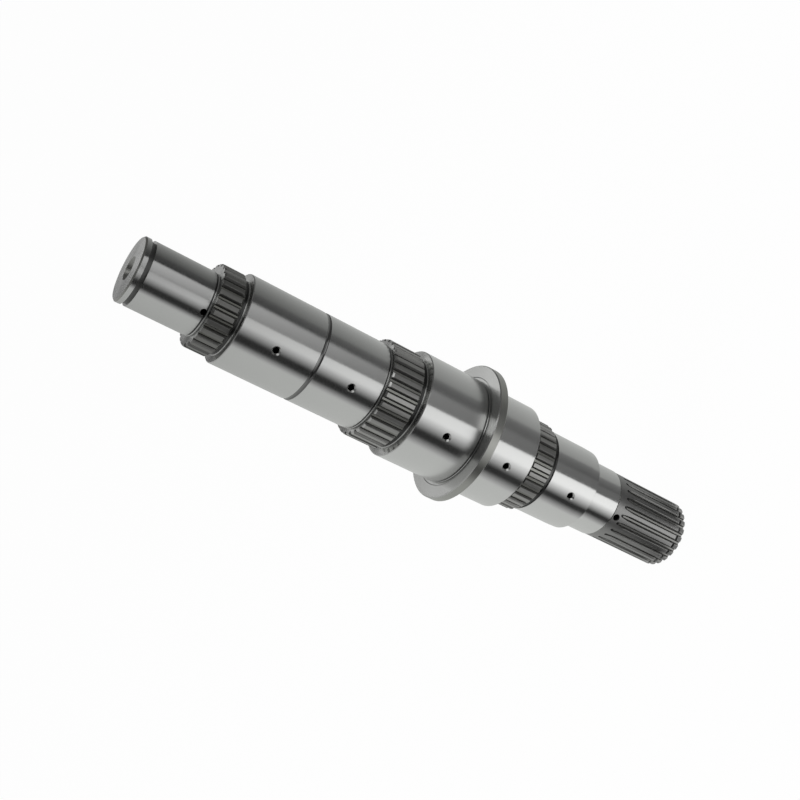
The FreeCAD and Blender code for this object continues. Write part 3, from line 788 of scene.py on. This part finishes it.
def dome_card(name, edges, elevations, low_greys, high_greys=None, distance=3.4):
    """A graded sector of a dome between two bearings and two elevations."""

    def place_point(across, along):
        bearing = compass(between(edges, across))
        rise = math.radians(between(elevations, along))
        flat = distance * math.cos(rise)
        return flat * math.cos(bearing), flat * math.sin(bearing), distance * math.sin(rise)

    def greys_at(across, along):
        return between([between(low_greys, across), between(high_greys or low_greys, across)], along)

    hang_card(name, (12, 12), place_point, greys_at)


def lay_floor():
    """Pale paper that glows white to the camera and in reflections, and keeps the shaft's soft shade."""
    deselect()
    bpy.ops.mesh.primitive_plane_add(size=60, location=(0, 0, 0))
    floor = bpy.context.active_object
    floor.name = "studio_floor"
    settle(floor)
    paper = bpy.data.materials.new("studio_paper")
    paper.use_nodes = True
    tree = paper.node_tree
    matt = tree.nodes["Principled BSDF"]
    matt.inputs["Base Color"].default_value = (studio().floor_grey,) * 3 + (1,)
    matt.inputs["Roughness"].default_value = 0.9
    matt.inputs["Specular IOR Level"].default_value = 0.0
    glow = new_node(tree, "ShaderNodeEmission", (0, -400))
    glow.inputs["Color"].default_value = (1, 1, 1, 1)
    path = new_node(tree, "ShaderNodeLightPath", (-400, 300)).outputs
    seen = reckon(tree, "MAXIMUM", (-200, 300), path["Is Camera Ray"], path["Is Transmission Ray"])
    seen_or_gloss = reckon(tree, "MAXIMUM", (-50, 300), seen, path["Is Glossy Ray"])
    amount = reckon(tree, "MULTIPLY", (100, 300), seen_or_gloss, 0.975)
    mix = new_node(tree, "ShaderNodeMixShader", (300, 0))
    tree.links.new(amount, mix.inputs["Fac"])
    tree.links.new(matt.outputs[0], mix.inputs[1])
    tree.links.new(glow.outputs[0], mix.inputs[2])
    tree.links.new(mix.outputs[0], tree.nodes["Material Output"].inputs["Surface"])
    floor.data.materials.append(paper)


def light_world():
    """Even light all round, plain white to the camera."""
    world = bpy.data.worlds.new("studio_world")
    bpy.context.scene.world = world
    world.use_nodes = True
    sky = world.node_tree
    backdrop = sky.nodes["Background"]
    backdrop.inputs["Color"].default_value = (1, 1, 1, 1)
    backdrop.inputs["Strength"].default_value = studio().world_light
    plain = new_node(sky, "ShaderNodeBackground", (0, -200))
    plain.inputs["Color"].default_value = (1, 1, 1, 1)
    plain.inputs["Strength"].default_value = 1.0
    rays = new_node(sky, "ShaderNodeLightPath", (-400, 200))
    pick = new_node(sky, "ShaderNodeMixShader", (300, 0))
    sky.links.new(rays.outputs["Is Camera Ray"], pick.inputs["Fac"])
    sky.links.new(backdrop.outputs[0], pick.inputs[1])
    sky.links.new(plain.outputs[0], pick.inputs[2])
    sky.links.new(pick.outputs[0], sky.nodes["World Output"].inputs["Surface"])


def hang_cards():
    # Cards lie on the floor, where the upright journals mirror them as bands along the shaft
    green = (0.992, 1.005, 0.985)
    floor_card("left_back_card", (-168, -76), (-168, -86), (0.66, 0.33), (0.38, 0.045), tint=green)
    floor_card("left_dark_flag", (-76, -48), (-86, -59), (0.20, 0.08), (0.035, 0.02))
    floor_card("left_middle_card", (-48, -23), (-59, -20), (0.13, 0.14), (0.56, 0.34))
    floor_card("front_light_card", (-23, 2), (-20, -3), (1.06, 1.12), (0.35, 0.39))
    floor_card("right_fading_card", (2, 33), (-3, 20.5), (1.08, 0.03), (0.38, 0.035))
    floor_card("right_dark_flag", (33, 43), (20.5, 39.5), (0.03, 0.02), (0.02, 0.015))
    floor_card("right_edge_card", (43, 64), (39.5, 54), (0.05, 0.57), (0.05, 0.46))
    floor_card("right_side_card", (64, 168), (54, 168), (0.60, 0.64), (0.465, 0.39), tint=green)
    floor_card("back_card", (168, 192), (168, 192), (0.05, 0.05), (0.22, 0.22))

    # Cards overhead, which the faced ends, shoulders, countersinks and chamfers mirror
    # Each band behind is mirrored by one or two of the shaft's annular faces
    bands = [(0, 21.2, 0.43, 0.34), (21.2, 26, 0.46, 0.09), (26, 30.5, 0.12, 0.10), (30.5, 58, 0.97, 0.72)]
    for index, (low, high, left_grey, right_grey) in enumerate(bands):
        dome_card("back_left_board_%d" % index, (-180, -162), (low, high), (left_grey, left_grey))
        dome_card("back_right_board_%d" % index, (162, 180), (low, high), (right_grey, right_grey))
    dome_card("left_flag", (-162, -58), (0, 58), (0.14, 0.10))
    dome_card("window_board", (-58, -24), (0, 58), (0.75, 0.75))
    dome_card("front_flag", (-24, 36), (0, 58), (0.07, 0.06))
    dome_card("right_board", (36, 162), (0, 58), (0.35, 0.5))
    dome_card("top_left_flag", (-180, -30), (58, 90), (0.06, 0.10), (0.10, 0.10))
    dome_card("top_right_board", (-30, 180), (58, 90), (0.12, 0.25), (0.10, 0.12))
    dome_card("soft_box", (-75, -15), (80, 87), (1.1, 1.1), distance=3.2)


def set_camera():
    room = studio()
    camera_data = bpy.data.cameras.new("photo_camera")
    camera = bpy.data.objects.new("photo_camera", camera_data)
    bpy.context.scene.collection.objects.link(camera)
    camera_data.sensor_width = 36.0
    camera_data.lens = room.lens
    camera_data.clip_start, camera_data.clip_end = 0.01, 50
    turned = (Matrix.Rotation(room.azimuth, 4, "Z") @ Matrix.Rotation(math.pi / 2 - room.elevation, 4, "X")
              @ Matrix.Rotation(-room.roll, 4, "Z"))
    camera.matrix_world = Matrix.Translation(Vector(room.camera_place)) @ turned
    bpy.context.scene.camera = camera


class MAINSHAFT_OT_stage(Operator):
    """Set the studio: pale floor, soft light, reflection cards and the camera"""

    bl_idname = "main_shaft.stage"
    bl_label = "Set the Studio"

    def execute(self, context):
        lay_floor()
        light_world()
        hang_cards()
        area_lamp("key_lamp", (-1.2, -1.0, 1.6), 1.2, 1.2, 18)
        area_lamp("fill_lamp", (1.4, -0.6, 1.2), 1.0, 1.4, 10)
        set_camera()
        context.scene.view_settings.view_transform = "Standard"
        return {"FINISHED"}


class MAINSHAFT_PT_panel(Panel):
    bl_idname = "MAINSHAFT_PT_panel"
    bl_label = "Main Shaft"
    bl_space_type = "VIEW_3D"
    bl_region_type = "UI"
    bl_category = "Main Shaft"

    def draw(self, context):
        column = self.layout.column()
        for group in (context.scene.shaft_sizes, context.scene.steel_look, context.scene.studio_sizes):
            for name in group.__annotations__:
                column.prop(group, name)
        for step in STEPS:
            column.operator(step.bl_idname)


STEPS = (
    MAINSHAFT_OT_turn,
    MAINSHAFT_OT_hub_splines,
    MAINSHAFT_OT_output_spline,
    MAINSHAFT_OT_oil_ways,
    MAINSHAFT_OT_finish,
    MAINSHAFT_OT_stage,
)
CLASSES = (ShaftSizes, SteelLook, StudioSizes, *STEPS, MAINSHAFT_PT_panel)


def register():
    for item in CLASSES:
        bpy.utils.register_class(item)
    bpy.types.Scene.shaft_sizes = PointerProperty(type=ShaftSizes)
    bpy.types.Scene.steel_look = PointerProperty(type=SteelLook)
    bpy.types.Scene.studio_sizes = PointerProperty(type=StudioSizes)


def unregister():
    del bpy.types.Scene.shaft_sizes
    del bpy.types.Scene.steel_look
    del bpy.types.Scene.studio_sizes
    for item in reversed(CLASSES):
        bpy.utils.unregister_class(item)


def main():
    register()
    bpy.ops.main_shaft.turn()
    bpy.ops.main_shaft.hub_splines()
    bpy.ops.main_shaft.output_spline()
    bpy.ops.main_shaft.oil_ways()
    bpy.ops.main_shaft.finish()
    bpy.ops.main_shaft.stage()


if __name__ == "__main__":
    main()
